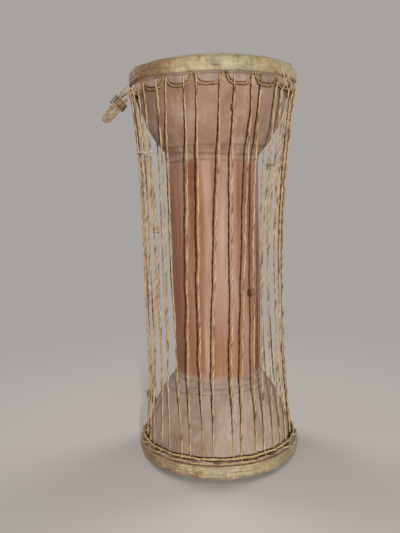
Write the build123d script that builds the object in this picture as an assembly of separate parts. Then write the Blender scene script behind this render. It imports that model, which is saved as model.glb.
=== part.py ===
from build123d import *
import math
import os

# Talking drum: a carved hourglass shell, two hide heads lapped on hoops, and laced thongs.
# Millimetres, +Z up, the drum stands on its lower head, and the photographed side faces -Y.
# Depth means the distance from the nearer head, so both ends share one set of sizes.

os.makedirs("parts", exist_ok=True)

TOP = 1
BOTTOM = -1

# Whole drum
HEIGHT = 400.0            # head to head
HIDE = 1.2                # thickness of the raw hide
SEAT_GAP = 0.1            # between a piece and what it is lapped or laid on
RUN_GAP = 0.4             # between pieces that slide past each other
BEND_SHARE = 0.45         # share of a run that a corner's rounding may take
FOLD_SHARE = 0.98         # share of the room between two strands that a fold takes

# Carved shell
RIM_R = 75.5              # outside of the rim
RIM_ROUND = 4.0           # bearing edge under the hide
BORE_ROUND = 2.0          # inner edge of the rim
WALL = 8.0
WAIST_R = 45.5
CUP_ARC = 100.0           # belly of each cup
CUP_STRAIGHT = 15.0       # depth at which the belly starts
NECK_ROUND = 14.0         # hollow between belly and waist
RIDGE_DEPTHS = (77.0, 84.0, 90.5)
RIDGE_BEAD = 1.7          # radius of a turned ridge
RIDGE_SUNK = 0.5          # how far a ridge's centre lies under the surface

# Hide lapped over the hoop
SKIRT_DEPTH = 9.0         # lower edge of the stretched head round the rim
HOOP_TOP = 3.0            # depth of the hoop's face next to the head
HOOP_HIGH = 14.0
HOOP_CROWN = 4.5          # rounding next to the head
HOOP_FOOT = 3.0           # rounding on the laced side
HEM_LAND = 0.2            # flat between that rounding and the hem
CANE_ROUND = 2.0          # inner edges of the cane ring

# Lacing
PAIRS = 18                # thong pairs round the drum
PHASE = 9.0               # azimuth of the first pair in degrees, 0 faces -Y, to the right
CORD_R = 1.3              # lapping cord
CORD_SET = 0.5            # the cords' centre line inside the hem's outer face
PEAK_DEPTH = 15.6         # corner of the upper cord's route at a pair, before rounding
SHOULDER_DEPTH = 26.0     # beside a pair
SHOULDER_X = 5.2          # along the ring from the pair's centre
SWAG_DEPTH = 28.2         # between two pairs
LOWER_CORD_DEPTH = 23.0   # the lower cord lies nearly level
LOWER_CORD_WAVE = 0.6
HEM_GAP = 0.9             # between the hem's edge and the cord's route
NOTCH_GAP = 0.6           # between a notch in the hem and the thongs in it
THONG_R = 1.3
LEG_X = 5.9               # half the spacing of a pair's legs, from the upper loop to the knee
LOWER_LEG_X = 7.9         # the same at the lower loop
LOWER_TWIST = -4.0        # degrees from the upper loop round to the lower one
KNEE_BOW = 3.5            # the thongs bow in by this much from the rim, half way
KNEE_GAP = 0.3            # between the halves of a thong
LOOP_DEPTH = 19.8         # run of a thong over the upper cord
LOOP_ROUND = 2.6          # bends of a thong round a cord
LOOP_GAP = 0.8            # room in a loop, so that it can turn on its cord

# Ties and splices on the thongs
STRIP_W = 4.0
STRIP_TAIL = 9.0          # length of a hide strip's free end
HIDE_TIE_PAIR = 16
HIDE_TIE_DEPTH = 85.0
KNOT_BORE_GAP = 0.1
WHISKER_R = 0.8
WHISKER_TIP_R = 0.25
# Each knot: half, pair, leg, depth, length, radius, and cut ends as (turn, rise, length)
KNOTS = {
    "left_splice_knot": (TOP, 16, 1, 157.0, 9.0, 3.2, ((200, 60, 5.0),)),
    "front_splice_knot": (TOP, 1, 1, 48.0, 7.0, 2.9, ()),
    "right_whisker_tie": (TOP, 3, -1, 100.0, 6.0, 3.0, ((190, -12, 7.0), (15, 10, 5.0))),
    "right_loop_tie": (BOTTOM, 2, 1, 178.0, 8.0, 3.0, ((205, 65, 10.0), (200, -60, 10.0))),
    "lower_left_knot": (BOTTOM, 14, -1, 46.0, 10.0, 3.2, ()),
    "lower_left_stopper": (BOTTOM, 14, 1, 58.0, 9.0, 3.2, ()),
}

# Tail: a cord folded into a small hank and lashed to the upper hoop
TAIL_PAIR = 14            # the tail hangs in the swag after this pair
TAIL_R = 1.3
TAIL_DEPTH = 23.0         # of the root's centre
TAIL_DROP = 48.5          # degrees below level
TAIL_REACH = 36.0         # root to the ends of the loops
TAIL_STRANDS = 4
TAIL_STEP = 3.2           # spacing of the strands across the hank
TAIL_LAYER = 4.0          # spacing of the two loops front to back
LASH_R = 1.0
LASH_GAP = 0.25
LASH_TURNS = 3
LASH_PITCH = 2.6
LASH_START = 9.0          # along the tail
LASH_ROUND = 2.8

RIM_DEPTH = HIDE + SEAT_GAP
SKIRT_R = RIM_R + SEAT_GAP + HIDE
HOOP_IN = SKIRT_R + RUN_GAP
HOOP_FOOT_DEPTH = HOOP_TOP + HOOP_HIGH
HOOK_R = CORD_R + THONG_R + LOOP_GAP
CORD_RING_R = RIM_R + RUN_GAP + THONG_R + HOOK_R
HEM_OUT = CORD_RING_R + CORD_SET
HEM_IN = HEM_OUT - HIDE
HOOP_OUT = HEM_OUT + HEM_LAND + HOOP_FOOT
PITCH = 360.0 / PAIRS
CUP_R = RIM_R - CUP_ARC
NECK_R = WAIST_R + NECK_ROUND
NECK_DEPTH = CUP_STRAIGHT + math.sqrt((CUP_ARC + NECK_ROUND) ** 2 - (NECK_R - CUP_R) ** 2)
NECK_ANGLE = math.degrees(math.atan2(NECK_DEPTH - CUP_STRAIGHT, NECK_R - CUP_R))
PIVOT_DEPTH = LOOP_DEPTH + HOOK_R
KNEE_R = RIM_R - KNEE_BOW
KNEE_Z = (HEIGHT - PIVOT_DEPTH + LOWER_CORD_DEPTH) / 2
TAIL_ROOT_R = HOOP_OUT + TAIL_R * math.sin(math.radians(TAIL_DROP)) + RUN_GAP


def height_at(side, depth):
    """Height of a point at a depth below the upper or above the lower head."""
    if side == TOP:
        return HEIGHT - depth
    return depth


def section_point(side, radius, depth):
    return (radius, height_at(side, depth))


def section_line(side, start, end):
    return Line(section_point(side, *start), section_point(side, *end))


def section_arc(side, centre, radius, start, end):
    """Arc in the radius-depth plane, between two angles in degrees from straight outwards."""
    points = []
    for angle in (start, (start + end) / 2, end):
        turn = math.radians(angle)
        points.append(section_point(side, centre[0] + radius * math.cos(turn),
                                    centre[1] + radius * math.sin(turn)))
    return ThreePointArc(*points)


def spun(profile):
    return revolve(Plane.XZ * profile, Axis.Z)


def azimuth_plane(azimuth):
    """Plane through the axis: x along the ring to the right, y up, z outwards."""
    turn = math.radians(azimuth)
    outwards = (math.sin(turn), -math.cos(turn), 0)
    along = (math.cos(turn), math.sin(turn), 0)
    return Plane(origin=(0, 0, 0), x_dir=along, z_dir=outwards)


def ring_point(azimuth, radius, height):
    turn = math.radians(azimuth)
    return Vector(radius * math.sin(turn), -radius * math.cos(turn), height)


def rounded_path(points, radii, closed=False):
    """Straight runs joined by tangent arcs; an open path keeps its two end points."""
    count = len(points)
    corners = []
    for index, point in enumerate(points):
        if not closed and index in (0, count - 1):
            corners.append((point, None, point))
            continue
        back = (points[index - 1] - point).normalized()
        ahead = (points[(index + 1) % count] - point).normalized()
        half_turn = math.radians(180 - back.get_angle(ahead)) / 2
        radius = radii[index]
        reach = radius * math.tan(half_turn)
        inside = radius / math.cos(half_turn) - radius
        middle = point + (back + ahead).normalized() * inside
        corners.append((point + back * reach, middle, point + ahead * reach))
    edges = []
    for index, (start, middle, end) in enumerate(corners):
        if middle is not None:
            edges.append(ThreePointArc(start, middle, end))
        if closed or index < count - 1:
            edges.append(Line(end, corners[(index + 1) % count][0]))
    return Wire(edges)


def widest_radii(points, closed=False):
    """The largest bend at each corner that leaves its runs partly straight."""
    count = len(points)
    radii = []
    for index, point in enumerate(points):
        if not closed and index in (0, count - 1):
            radii.append(0.0)
            continue
        back = points[index - 1] - point
        ahead = points[(index + 1) % count] - point
        half_turn = math.radians(180 - back.get_angle(ahead)) / 2
        radii.append(BEND_SHARE * min(back.length, ahead.length) / math.tan(half_turn))
    return radii


def tube(path, radius):
    return sweep(Plane(origin=path @ 0, z_dir=path % 0) * Circle(radius), path=path)


def shell_radius(depth):
    """Outside radius of the shell at a depth past the rim."""
    if depth >= NECK_DEPTH:
        return WAIST_R
    tangent_depth = CUP_STRAIGHT + CUP_ARC * math.sin(math.radians(NECK_ANGLE))
    if depth >= tangent_depth:
        return NECK_R - math.sqrt(NECK_ROUND ** 2 - (NECK_DEPTH - depth) ** 2)
    return CUP_R + math.sqrt(CUP_ARC ** 2 - (depth - CUP_STRAIGHT) ** 2)


def drum_shell():
    edges = []
    inner_r = RIM_R - WALL
    cup = (CUP_R, CUP_STRAIGHT)
    neck = (NECK_R, NECK_DEPTH)
    for side in (TOP, BOTTOM):
        edges += [
            section_arc(side, neck, NECK_ROUND, 180, 180 + NECK_ANGLE),
            section_arc(side, cup, CUP_ARC, NECK_ANGLE, 0),
            section_line(side, (RIM_R, CUP_STRAIGHT), (RIM_R, RIM_DEPTH + RIM_ROUND)),
            section_arc(side, (RIM_R - RIM_ROUND, RIM_DEPTH + RIM_ROUND), RIM_ROUND, 0, -90),
            section_line(side, (RIM_R - RIM_ROUND, RIM_DEPTH), (inner_r + BORE_ROUND, RIM_DEPTH)),
            section_arc(side, (inner_r + BORE_ROUND, RIM_DEPTH + BORE_ROUND), BORE_ROUND, -90, -180),
            section_line(side, (inner_r, RIM_DEPTH + BORE_ROUND), (inner_r, CUP_STRAIGHT)),
            section_arc(side, cup, CUP_ARC - WALL, 0, NECK_ANGLE),
            section_arc(side, neck, NECK_ROUND + WALL, 180 + NECK_ANGLE, 180),
        ]
    for radius in (WAIST_R, WAIST_R - WALL):
        edges.append(Line(section_point(TOP, radius, NECK_DEPTH), section_point(BOTTOM, radius, NECK_DEPTH)))
    profile = make_face(edges)
    for side in (TOP, BOTTOM):
        for depth in RIDGE_DEPTHS:
            centre = section_point(side, shell_radius(depth) - RIDGE_SUNK, depth)
            profile += Pos(*centre) * Circle(RIDGE_BEAD)
    return spun(profile)


def head_skin(side):
    """Hide stretched over the rim, down to a short skirt."""
    edge_r = RIM_R - RIM_ROUND
    bend = (edge_r, RIM_DEPTH + RIM_ROUND)
    outer = RIM_ROUND + SEAT_GAP + HIDE
    inner = RIM_ROUND + SEAT_GAP
    edges = [
        section_line(side, (0, 0), (edge_r, 0)),
        section_arc(side, bend, outer, -90, 0),
        section_line(side, (SKIRT_R, bend[1]), (SKIRT_R, SKIRT_DEPTH)),
        section_line(side, (SKIRT_R, SKIRT_DEPTH), (SKIRT_R - HIDE, SKIRT_DEPTH)),
        section_line(side, (SKIRT_R - HIDE, SKIRT_DEPTH), (SKIRT_R - HIDE, bend[1])),
        section_arc(side, bend, inner, 0, -90),
        section_line(side, (edge_r, HIDE), (0, HIDE)),
        section_line(side, (0, HIDE), (0, 0)),
    ]
    return spun(make_face(edges))


def pair_azimuth(number):
    return PHASE + PITCH * (number - 1)


def loops(side):
    """Azimuths of the thong loops at one end, and half the spacing of their legs."""
    azimuths = [pair_azimuth(number) for number in range(1, PAIRS + 1)]
    if side == TOP:
        return azimuths, LEG_X
    return [azimuth + LOWER_TWIST for azimuth in azimuths], LOWER_LEG_X


def hem_notch(side, azimuth, leg_x, shoulder, middle):
    """What is cut from the hem round one thong pair, down to the cord below it."""
    half = leg_x + THONG_R + NOTCH_GAP
    reach = CORD_RING_R * math.tan(math.radians(PITCH / 2))
    below = 2 * middle
    outline = [(-reach, middle), (-half, shoulder), (-half, HOOP_FOOT_DEPTH), (half, HOOP_FOOT_DEPTH),
               (half, shoulder), (reach, middle), (reach, below), (-reach, below)]
    face = Polygon(*[(x, height_at(side, depth)) for x, depth in outline], align=None)
    return extrude(azimuth_plane(azimuth) * face, amount=HOOP_OUT)


def skin_collar(side, shoulder, middle):
    """Hide lapped round the hoop, with a notched hem that the cord runs along."""
    crown = (HOOP_OUT - HOOP_CROWN, HOOP_TOP + HOOP_CROWN)
    foot = (HOOP_OUT - HOOP_FOOT, HOOP_FOOT_DEPTH - HOOP_FOOT)
    lap_in = HOOP_OUT - HIDE
    lap_top = HOOP_TOP + HIDE
    lap_foot = HOOP_FOOT_DEPTH - HIDE
    edges = [
        section_line(side, (HOOP_IN, HOOP_TOP), (crown[0], HOOP_TOP)),
        section_arc(side, crown, HOOP_CROWN, -90, 0),
        section_line(side, (HOOP_OUT, crown[1]), (HOOP_OUT, foot[1])),
        section_arc(side, foot, HOOP_FOOT, 0, 90),
        section_line(side, (foot[0], HOOP_FOOT_DEPTH), (HEM_OUT, HOOP_FOOT_DEPTH)),
        section_line(side, (HEM_OUT, HOOP_FOOT_DEPTH), (HEM_OUT, middle)),
        section_line(side, (HEM_OUT, middle), (HEM_IN, middle)),
        section_line(side, (HEM_IN, middle), (HEM_IN, lap_foot)),
        section_line(side, (HEM_IN, lap_foot), (foot[0], lap_foot)),
        section_arc(side, foot, HOOP_FOOT - HIDE, 90, 0),
        section_line(side, (lap_in, foot[1]), (lap_in, crown[1])),
        section_arc(side, crown, HOOP_CROWN - HIDE, 0, -90),
        section_line(side, (crown[0], lap_top), (HOOP_IN, lap_top)),
        section_line(side, (HOOP_IN, lap_top), (HOOP_IN, HOOP_TOP)),
    ]
    collar = spun(make_face(edges))
    azimuths, leg_x = loops(side)
    return collar - [hem_notch(side, azimuth, leg_x, shoulder, middle) for azimuth in azimuths]


def hoop_core(side):
    """Ring of bound cane inside the lapped hide."""
    crown = (HOOP_OUT - HOOP_CROWN, HOOP_TOP + HOOP_CROWN)
    foot = (HOOP_OUT - HOOP_FOOT, HOOP_FOOT_DEPTH - HOOP_FOOT)
    crown_r = HOOP_CROWN - HIDE - SEAT_GAP
    foot_r = HOOP_FOOT - HIDE - SEAT_GAP
    outer = HOOP_OUT - HIDE - SEAT_GAP
    top = HOOP_TOP + HIDE + SEAT_GAP
    low = HOOP_FOOT_DEPTH - HIDE - SEAT_GAP
    inner = HOOP_IN + CANE_ROUND
    edges = [
        section_line(side, (inner, top), (crown[0], top)),
        section_arc(side, crown, crown_r, -90, 0),
        section_line(side, (outer, crown[1]), (outer, foot[1])),
        section_arc(side, foot, foot_r, 0, 90),
        section_line(side, (foot[0], low), (inner, low)),
        section_arc(side, (inner, low - CANE_ROUND), CANE_ROUND, 90, 180),
        section_line(side, (HOOP_IN, low - CANE_ROUND), (HOOP_IN, top + CANE_ROUND)),
        section_arc(side, (inner, top + CANE_ROUND), CANE_ROUND, 180, 270),
    ]
    return spun(make_face(edges))


def lapping_cord(side, peak, shoulder, swag):
    """Cord threaded round the hem: up beside each thong pair, down in a swag between pairs."""
    aside = math.degrees(SHOULDER_X / CORD_RING_R)
    points = []
    for azimuth in loops(side)[0]:
        for turn, depth in ((0, peak), (aside, shoulder), (PITCH / 2, swag), (PITCH - aside, shoulder)):
            points.append(ring_point(azimuth + turn, CORD_RING_R, height_at(side, depth)))
    return tube(rounded_path(points, widest_radii(points, closed=True), closed=True), CORD_R)


def leg_line(half):
    """The two ends of a thong leg as (radius, height): at its loop and at the knee."""
    if half == TOP:
        return (CORD_RING_R + HOOK_R, HEIGHT - LOOP_DEPTH), (KNEE_R, KNEE_Z)
    return (CORD_RING_R - HOOK_R, LOWER_CORD_DEPTH - HOOK_R), (KNEE_R, KNEE_Z)


def leg_ends(half, pair, leg):
    """A thong leg's points behind its cord, at its loop and at the knee."""
    (loop_r, loop_z), (knee_r, knee_z) = leg_line(half)
    azimuths, loop_x = loops(half)
    frame = azimuth_plane(azimuths[(pair - 1) % PAIRS])
    behind = frame.from_local_coords(Vector(leg * loop_x, loop_z, 2 * CORD_RING_R - loop_r))
    loop = frame.from_local_coords(Vector(leg * loop_x, loop_z, loop_r))
    knee = azimuth_plane(pair_azimuth(pair)).from_local_coords(Vector(leg * LEG_X, knee_z, knee_r))
    return behind, loop, knee


def thong_loop(half, pair):
    """One half of a thong pair: two legs from the knee, joined by a loop round the cord."""
    (loop_r, loop_z), (knee_r, knee_z) = leg_line(half)
    lean = math.atan2(loop_r - knee_r, abs(loop_z - knee_z))
    cut = (KNEE_GAP / 2 + THONG_R * math.sin(lean)) / abs(loop_z - knee_z)
    points = []
    for leg in (-1, 1):
        behind, loop, knee = leg_ends(half, pair, leg)
        run = [behind, loop, knee + (loop - knee) * cut]
        points += run[::leg]
    return tube(rounded_path(points, [LOOP_ROUND] * len(points)), THONG_R)


def leg_plane(half, pair, leg, depth):
    """Plane square to a thong leg, or between the legs, at a depth: x along the ring, z up."""
    behind, loop, knee = leg_ends(half, pair, leg)
    share = (height_at(half, depth) - knee.Z) / (loop.Z - knee.Z)
    centre = knee + (loop - knee) * share
    return Plane(origin=centre, x_dir=azimuth_plane(pair_azimuth(pair)).x_dir, z_dir=(loop - knee) * half)


def hide_tie(half, pair, depth):
    """Strip of hide tied round both legs of a pair, with two pointed ends."""
    bore = 2 * (THONG_R + KNOT_BORE_GAP)
    band = SlotCenterToCenter(2 * LEG_X, bore + 2 * HIDE) - SlotCenterToCenter(2 * LEG_X, bore)
    tie = extrude(band, amount=STRIP_W / 2, both=True)
    front = Plane(origin=(0, -bore / 2, 0), x_dir=(1, 0, 0), z_dir=(0, -1, 0))
    for way in (-1, 1):
        tip = way * (LEG_X + STRIP_TAIL)
        end = Polygon((0, -STRIP_W / 2), (0, STRIP_W / 2), (tip, way * STRIP_W), align=None)
        tie += extrude(front * end, amount=HIDE, dir=front.z_dir)
    return leg_plane(half, pair, 0, depth) * tie


def thong_knot(half, pair, leg, depth, length, radius, whiskers):
    """Wrapped knot round one leg, with stiff cut ends given as (turn, rise, length)."""
    bore = THONG_R + KNOT_BORE_GAP
    belly = [(bore + HIDE, -length / 2), (radius, 0), (bore + HIDE, length / 2)]
    edges = [Line((bore, -length / 2), belly[0]), ThreePointArc(*belly),
             Line(belly[2], (bore, length / 2)), Line((bore, length / 2), (bore, -length / 2))]
    knot = spun(make_face(edges))
    for turn, rise, reach in whiskers:
        away = Rot(0, 0, turn) * Pos(radius - WHISKER_R, 0, 0) * Rot(0, 90 - rise, 0)
        knot += away * Cone(WHISKER_R, WHISKER_TIP_R, reach, align=(Align.CENTER, Align.CENTER, Align.MIN))
    return leg_plane(half, pair, leg, depth) * knot


def tail_frame():
    """Frame of the tail: x along it, y across it and upwards, z round the ring to the left."""
    frame = azimuth_plane(pair_azimuth(TAIL_PAIR) + PITCH / 2)
    drop = math.radians(TAIL_DROP)
    origin = frame.from_local_coords(Vector(0, HEIGHT - TAIL_DEPTH, TAIL_ROOT_R))
    along = frame.z_dir * math.cos(drop) - Vector(0, 0, 1) * math.sin(drop)
    return Plane(origin=origin, x_dir=along, z_dir=-frame.x_dir)


def tail_root(across):
    """Where a strand starts along the tail, so that all start the same way off the hoop."""
    return -across * math.tan(math.radians(TAIL_DROP))


def tail_hank():
    """Two loops of one cord that comes out of the hem, the second loop behind the first."""
    near, far = -TAIL_LAYER / 2, TAIL_LAYER / 2
    edge = TAIL_STEP * (TAIL_STRANDS - 1) / 2
    low, mid_low, mid_high, high = (TAIL_STEP * place - edge for place in range(TAIL_STRANDS))
    drop = math.radians(TAIL_DROP)
    inwards = TAIL_ROOT_R - HEM_OUT - SEAT_GAP
    root = tail_root(mid_high)
    route = [(root - inwards * math.cos(drop), mid_high - inwards * math.sin(drop), near),
             (root, mid_high, near), (TAIL_REACH, mid_high, near), (TAIL_REACH, low, near),
             (tail_root(low), low, near), (tail_root(low), mid_low, far),
             (TAIL_REACH, mid_low, far), (TAIL_REACH, high, far), (tail_root(high), high, far)]
    bend = TAIL_STEP * FOLD_SHARE
    back_bend = math.hypot(TAIL_STEP, TAIL_LAYER) / 2 * FOLD_SHARE
    radii = [0, bend, bend, bend, back_bend, back_bend, bend, bend, 0]
    frame = tail_frame()
    path = rounded_path([frame.from_local_coords(Vector(*place)) for place in route], radii)
    report_cord("tail hank", path, TAIL_R, min(bend, back_bend))
    return tube(path, TAIL_R)


def tail_lashing():
    """Cord wound round the root of the tail."""
    half_y = TAIL_STEP * (TAIL_STRANDS - 1) / 2 + TAIL_R + LASH_GAP + LASH_R
    half_z = TAIL_LAYER / 2 + TAIL_R + LASH_GAP + LASH_R
    corners = ((-half_y, half_z), (half_y, half_z), (half_y, -half_z), (-half_y, -half_z))
    frame = tail_frame()
    points = [frame.from_local_coords(Vector(LASH_START, 0, half_z))]
    for turn in range(LASH_TURNS):
        for quarter, (y, z) in enumerate(corners[1:] + corners[:1]):
            along = LASH_START + LASH_PITCH * (turn + (quarter + 1) / 4)
            points.append(frame.from_local_coords(Vector(along, y, z)))
    finish = LASH_START + LASH_PITCH * (LASH_TURNS + 1 / 4)
    points.append(frame.from_local_coords(Vector(finish, 0, half_z)))
    path = rounded_path(points, [LASH_ROUND] * len(points))
    report_cord("tail lashing", path, LASH_R, LASH_ROUND)
    return tube(path, LASH_R)


def report_cord(name, path, radius, bend):
    """Print a cord's length, its tightest bend and its least gap to itself."""
    step = radius / 2
    count = int(path.length / step)
    points = [path @ (index / count) for index in range(count + 1)]
    apart = int(math.pi * 2 * radius / step)
    least = min((points[i] - points[j]).length
                for i in range(count + 1) for j in range(i + apart, count + 1))
    gap = least - 2 * radius
    print(f"{name}: length {path.length:.1f} mm, least bend {bend:.2f} mm, gap to itself {gap:.2f} mm")


def save(shape, node):
    export_step(shape, f"parts/{node}.step")


def main():
    hem_shoulder = SHOULDER_DEPTH - CORD_R - HEM_GAP
    hem_middle = SWAG_DEPTH - CORD_R - HEM_GAP
    lower_hem = LOWER_CORD_DEPTH - LOWER_CORD_WAVE - CORD_R - HEM_GAP
    save(drum_shell(), "drum_shell")
    save(head_skin(TOP), "top_skin")
    save(head_skin(BOTTOM), "bottom_skin")
    save(skin_collar(TOP, hem_shoulder, hem_middle), "top_skin_collar")
    save(skin_collar(BOTTOM, lower_hem, lower_hem), "bottom_skin_collar")
    save(hoop_core(TOP), "top_hoop_core")
    save(hoop_core(BOTTOM), "bottom_hoop_core")
    save(lapping_cord(TOP, PEAK_DEPTH, SHOULDER_DEPTH, SWAG_DEPTH), "top_lapping_cord")
    save(lapping_cord(BOTTOM, LOWER_CORD_DEPTH - LOWER_CORD_WAVE, LOWER_CORD_DEPTH,
                      LOWER_CORD_DEPTH + LOWER_CORD_WAVE), "bottom_lapping_cord")
    for pair in range(1, PAIRS + 1):
        save(thong_loop(TOP, pair), f"thong_pair_{pair:02d}_upper")
        save(thong_loop(BOTTOM, pair), f"thong_pair_{pair:02d}_lower")
    save(hide_tie(TOP, HIDE_TIE_PAIR, HIDE_TIE_DEPTH), "left_hide_tie")
    for node, knot in KNOTS.items():
        save(thong_knot(*knot), node)
    save(tail_hank(), "tail_hank")
    save(tail_lashing(), "tail_lashing")


main()
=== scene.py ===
import math

import bmesh
import bpy
import numpy as np
from mathutils import Matrix, Vector


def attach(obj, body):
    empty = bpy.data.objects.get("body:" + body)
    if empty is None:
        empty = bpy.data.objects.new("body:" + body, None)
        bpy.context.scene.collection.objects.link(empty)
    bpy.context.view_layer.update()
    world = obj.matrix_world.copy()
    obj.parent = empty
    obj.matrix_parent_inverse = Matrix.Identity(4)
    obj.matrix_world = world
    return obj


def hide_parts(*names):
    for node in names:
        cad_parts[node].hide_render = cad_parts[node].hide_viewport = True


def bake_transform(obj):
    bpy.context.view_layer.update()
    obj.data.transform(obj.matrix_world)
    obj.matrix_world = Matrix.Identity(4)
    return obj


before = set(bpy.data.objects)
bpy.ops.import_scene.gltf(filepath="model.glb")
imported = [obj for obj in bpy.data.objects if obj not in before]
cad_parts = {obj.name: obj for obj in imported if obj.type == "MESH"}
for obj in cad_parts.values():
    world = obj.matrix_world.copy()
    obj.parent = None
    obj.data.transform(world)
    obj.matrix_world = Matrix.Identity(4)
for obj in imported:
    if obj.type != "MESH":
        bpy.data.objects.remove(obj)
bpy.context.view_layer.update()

bl_info = {
    "name": "Talking drum dresser",
    "version": (1, 0, 0),
    "blender": (4, 5, 0),
    "location": "View3D > Sidebar > Talking Drum",
    "description": "Dresses the packed talking drum with carved wood, raw hide and twisted thongs",
    "category": "Object",
}

# Lengths are millimetres until a mesh is made. Depth is the distance from the nearer head.
MM = 0.001
TOP, BOTTOM = 1, -1
SIDES = ((TOP, "top"), (BOTTOM, "bottom"))
UP = np.array([0, 0, 1.0])
HEIGHT = 400.0
RIM_R, RIM_ROUND, BORE_ROUND, RIM_DEPTH, WALL = 75.5, 4.0, 2.0, 1.3, 8.0
WAIST_R, CUP_ARC, CUP_STRAIGHT, NECK_ROUND = 45.5, 100.0, 15.0, 14.0
RIDGES = {TOP: (77.0, 84.0, 90.5), BOTTOM: (79.8, 84.6, 89.0)}
HIDE, HEAD_GAP, SKIRT_GAP = 1.2, 0.12, 0.15
SKIRT_R, SKIRT_START, SKIRT_DEPTH = 76.8, 7.2, 9.0
HOOP_IN, HOOP_OUT, HOOP_TOP, HOOP_FOOT_DEPTH = 77.2, 84.3, 3.0, 17.0
HOOP_CROWN, HOOP_FOOT, HEM_OUT = 4.5, 3.0, 81.1
COLLAR_COLUMNS = 432
PAIRS, PHASE, PITCH, LOWER_TWIST = 18, 9.0, 20.0, -4.0
CORD_RING_R, LOOP_DEPTH, LOOP_IN_R, LOOP_OUT_R, LOWER_LOOP_Z = 80.6, 19.8, 77.2, 84.0, 19.6
LEG_HALF = math.degrees(5.9 / LOOP_OUT_R)

# Height and radius of the thong cage, which the lacing's pull bows in.
CAGE = ((21, 77.2), (33, 76.6), (50, 75.4), (70, 74.0), (95, 72.6), (140, 72.0), (200, 72.0), (221, 72.2),
        (260, 73.2), (290, 74.6), (320, 76.8), (352, 79.8), (372, 82.6))
CAGE_HEIGHTS, CAGE_RADII = zip(*CAGE)
CAGE_LEAN = 2.5  # to the left at half height
LEG_LOW, LEG_TOP, TOP_SHIFT, LEG_KINK = 20, 380, 1.6, 0.34
LEG_STOPS = np.arange(370, 30, -11.0)
# Azimuths of the front pairs' left and right legs at these heights.
LEG_HEIGHTS = (33, 92, 158, 221, 335)
FRONT_LEGS = {
    15: ((-78, -76, -77.8, -77.8, -75), (-66.5, -67.6, -64.8, -60.6, -64.5)),
    16: ((-59, -62.5, -53.5, -49.6, -57.2), (-47, -47.2, -46.6, -46.4, -50.5)),
    17: ((-38.5, -41, -38.2, -37.9, -37.4), (-27.2, -31, -31.3, -32.6, -32)),
    18: ((-20.3, -21.5, -19.5, -18.6, -16.6), (-10.5, -11.4, -10.3, -9.7, -9.2)),
    1: ((-3.2, -2, 0.8, 3.2, 5.8), (11.3, 12.3, 14.6, 15.5, 14.8)),
    2: ((17, 20.4, 23.5, 25.7, 26.8), (29.2, 31, 33.0, 33.2, 32.8)),
    3: ((36.5, 38.8, 41.6, 41.8, 47), (46, 48.4, 48, 49, 53.4)),
    4: ((55, 56.5, 60, 58.5, 61.5), (64, 67, 67.5, 68, 70)),
}
# The other pairs run true: share of the lower twist, and degrees from the pair's middle to a leg.
PLAIN_LEGS = ((0.93, 5.8), (0.6, 5.4), (0.25, 4.9), (0.0, 4.65), (0.0, 4.3))
# Lapping cords: degrees from a pair, and depth.
CORD_STOPS = {
    TOP: ((-0.5, 15.9), (0.5, 15.9), (2.6, 24.2), (4.0, 26.9), (7.2, 27.5), (10, 27.8), (12.8, 27.5),
          (16.0, 26.9), (17.4, 24.2)),
    BOTTOM: ((0, 22.4), (5, 23), (10, 23.6), (15, 23)),
}


def height_at(side, depth):
    return HEIGHT - depth if side == TOP else depth


def polar(azimuth, radius, height):
    """A point by its azimuth in degrees, 0 to the front and growing to the right."""
    turn = np.radians(azimuth)
    return np.array([radius * math.sin(turn), -radius * math.cos(turn), height])


def pair_azimuth(pair):
    return PHASE + PITCH * (pair - 1)


def ripple(turn, along, seed, lobes, scale, waves=9):
    """Smooth unevenness of about unit size that closes round the drum."""
    rng = np.random.RandomState(seed)
    total = np.zeros(np.broadcast(turn, along).shape)
    for _ in range(waves):
        count = rng.randint(1, lobes + 1)
        pace = rng.normal() / scale
        total += np.sin(count * np.radians(turn) + pace * along + rng.uniform(0, 2 * math.pi))
    return total / math.sqrt(waves / 2)


def smooth(value, low, high):
    share = np.clip((value - low) / (high - low), 0, 1)
    return share * share * (3 - 2 * share)


def make_piece(name, points, faces, finish, **attributes):
    """Mesh object from points in millimetres, with float attributes for its finish."""
    mesh = bpy.data.meshes.new(name)
    mesh.from_pydata((np.asarray(points) * MM).tolist(), [], faces)
    mesh.validate()
    work = bmesh.new()
    work.from_mesh(mesh)
    bmesh.ops.recalc_face_normals(work, faces=work.faces)
    work.to_mesh(mesh)
    work.free()
    mesh.shade_smooth()
    for key, values in attributes.items():
        layer = mesh.attributes.new(key, "FLOAT", "POINT")
        layer.data.foreach_set("value", np.asarray(values, np.float32))
    mesh.materials.append(finish)
    piece = bpy.data.objects.new(name, mesh)
    bpy.context.collection.objects.link(piece)
    return piece


def place(piece, body, slot, *nodes):
    if body:
        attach(piece, body)
    if nodes:
        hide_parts(*nodes)
    return piece


def grid_faces(rows, columns, closed_rows):
    index = np.arange(rows * columns).reshape(rows, columns)
    below = np.roll(index, -1, axis=0) if closed_rows else index[1:]
    here = index if closed_rows else index[:-1]
    quads = np.stack([here, np.roll(here, -1, axis=1), np.roll(below, -1, axis=1), below], axis=-1)
    faces = quads.reshape(-1, 4).tolist()
    if not closed_rows:
        faces += [index[0].tolist(), index[-1].tolist()]
    return faces


def turned(radii, depths, side, turns):
    """Points of a turned surface from radius and depth tables of rows by columns."""
    heights = height_at(side, depths)
    turn = np.radians(turns)
    return np.stack([radii * np.sin(turn), -radii * np.cos(turn), heights], axis=-1)


def make_surface(name, points, closed_rows, finish, **attributes):
    """Piece from a grid of points."""
    rows, columns = points.shape[:2]
    values = {key: table.reshape(-1) for key, table in attributes.items()}
    return make_piece(name, points.reshape(-1, 3), grid_faces(rows, columns, closed_rows), finish, **values)


def hump(away, width):
    """Soft ridge of unit height."""
    return np.exp(-(away / width) ** 2)


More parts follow.
